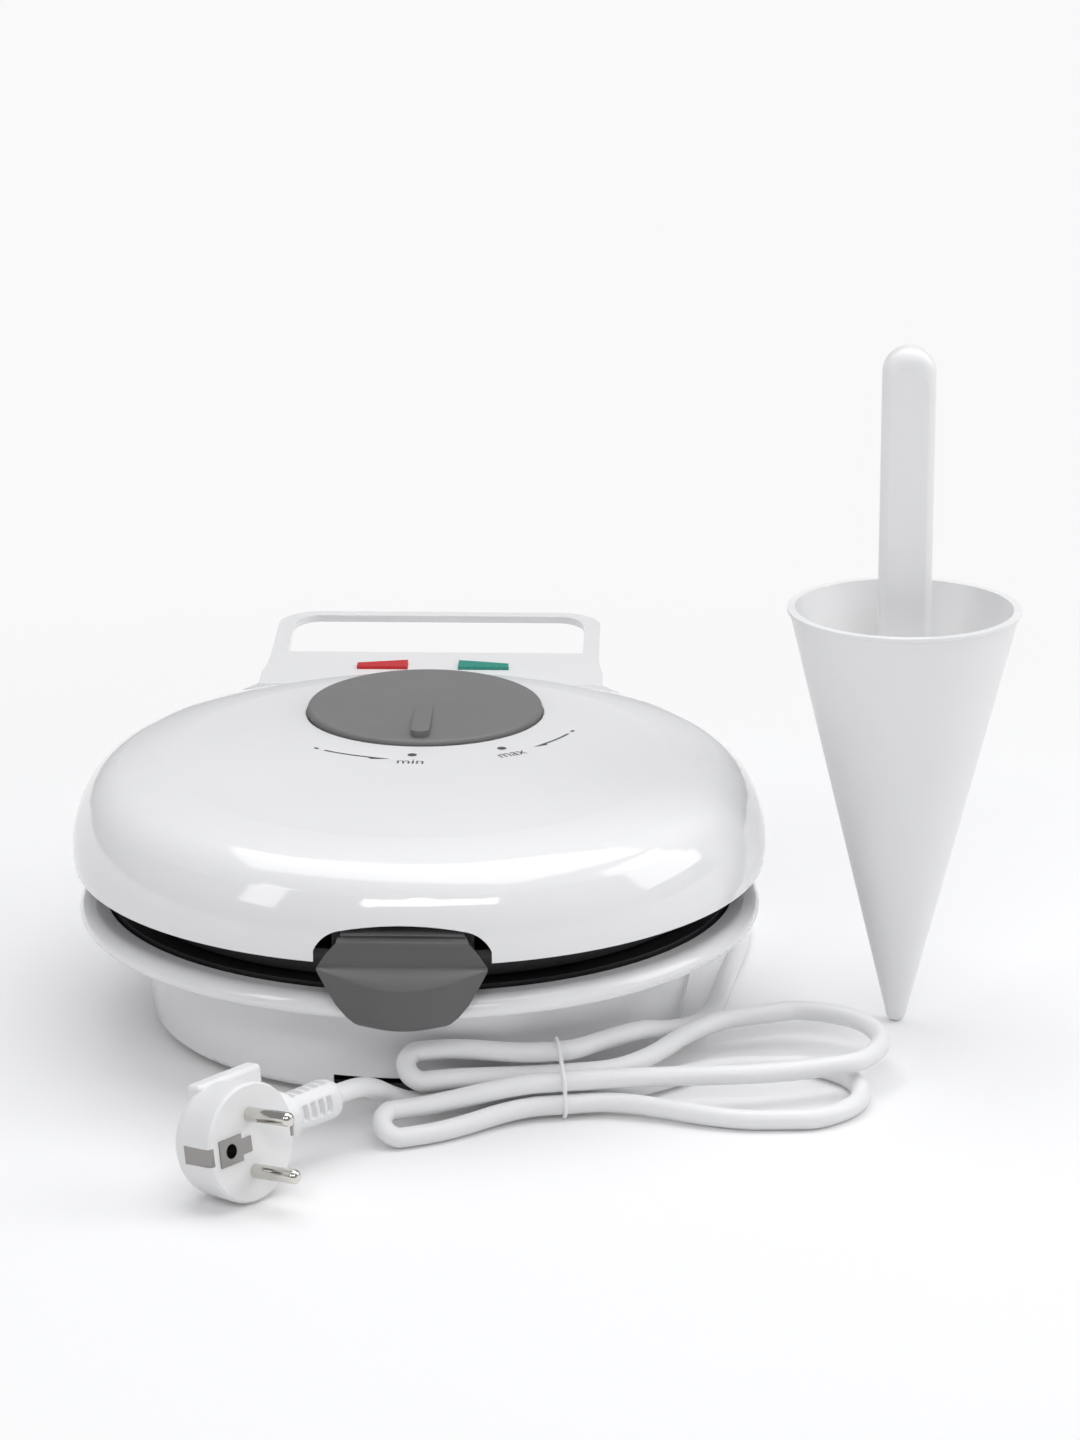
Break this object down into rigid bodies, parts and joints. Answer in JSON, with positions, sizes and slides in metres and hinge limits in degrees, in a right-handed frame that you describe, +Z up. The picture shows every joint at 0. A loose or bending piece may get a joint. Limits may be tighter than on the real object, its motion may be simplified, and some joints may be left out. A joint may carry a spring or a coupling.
{
  "type": "waffle cone maker",
  "caption": "Round hinged electric baking iron with gridded plates, temperature dial, front latch, carrying loop and corded plug, with a hollow rolling cone on a bar handle.",
  "frame": {"origin": "point on the floor under the centre of the round baking plates", "axes": "+Z up, latch and front face -Y, hinge and carrying loop at +Y, rolling cone at +X"},
  "size_m": [0.3299, 0.3702, 0.2429],
  "materials": {
    "white_gloss": "glossy white moulded plastic",
    "white_form": "satin white moulded plastic",
    "grey_dial": "satin grey",
    "grey_latch": "satin grey",
    "black_plate": "black non-stick coating",
    "black_plastic": "matt black",
    "black_rubber": "matt",
    "steel": "plain",
    "element_steel": "dull tube",
    "reflector": "bright sheet",
    "red_lens": "clear red",
    "green_lens": "clear green",
    "lamp_glass": "clear",
    "white_cord": "soft satin",
    "white_plug": "satin",
    "white_tie": "satin",
    "nickel": "plated"
  },
  "bodies": {
    "base": {"base_housing": "white_gloss", "bottom_cover": "black_plastic", "lower_plate": "black_plate", "lower_heating_element": "element_steel", "lower_reflector": "reflector", "hinge_pin": "steel", "terminal_block": "black_plastic", "thermal_fuse": "black_plastic", "cord_gland": "white_cord", "cord_lead": "white_cord", "cord_hank": "white_cord", "cord_tail": "white_cord", "cord_tie": "white_tie", "plug_body": "white_plug", "plug_pin_upper": "nickel", "plug_pin_lower": "nickel", "earth_clip_left": "nickel", "earth_clip_right": "nickel", "strain_relief": "white_cord", "rubber_foot_1": "black_rubber", "rubber_foot_2": "black_rubber", "rubber_foot_3": "black_rubber", "rubber_foot_4": "black_rubber", "cover_screw_1": "steel", "cover_screw_2": "steel", "cover_screw_3": "steel", "cover_screw_4": "steel"},
    "lid": {"lid_cover": "white_gloss", "upper_plate": "black_plate", "upper_heating_element": "element_steel", "upper_reflector": "reflector", "thermostat": "black_plastic", "red_lamp_lens": "red_lens", "green_lamp_lens": "green_lens", "red_lamp": "lamp_glass", "green_lamp": "lamp_glass", "latch_bracket": "black_plastic", "latch_pin": "steel", "latch_spring": "steel"},
    "latch": {"latch": "grey_latch"},
    "dial": {"dial_knob": "grey_dial", "thermostat_shaft": "steel"},
    "cone_form": {"cone_shell": "white_form", "cone_handle": "white_form"}
  },
  "joints": [
    {"name": "lid_hinge", "type": "hinge", "parent": "base", "child": "lid", "pos_m": [0, 0.126, 0.056], "axis": [-1, 0, 0], "range_deg": [0, 100]},
    {"name": "latch_pivot", "type": "hinge", "parent": "lid", "child": "latch", "pos_m": [0, -0.113, 0.0663], "axis": [-1, 0, 0], "range_deg": [0, 22], "stiffness_Nm_per_rad": 0.05},
    {"name": "dial_turn", "type": "hinge", "parent": "lid", "child": "dial", "pos_m": [0, 0.0432, 0.0951], "axis": [0, -0.0262, 0.9997], "range_deg": [-326, 0]},
    {"name": "cone_lift", "type": "slide", "parent": "base", "child": "cone_form", "axis": [0, 0, 1], "range_m": [0, 0.2]}
  ]
}
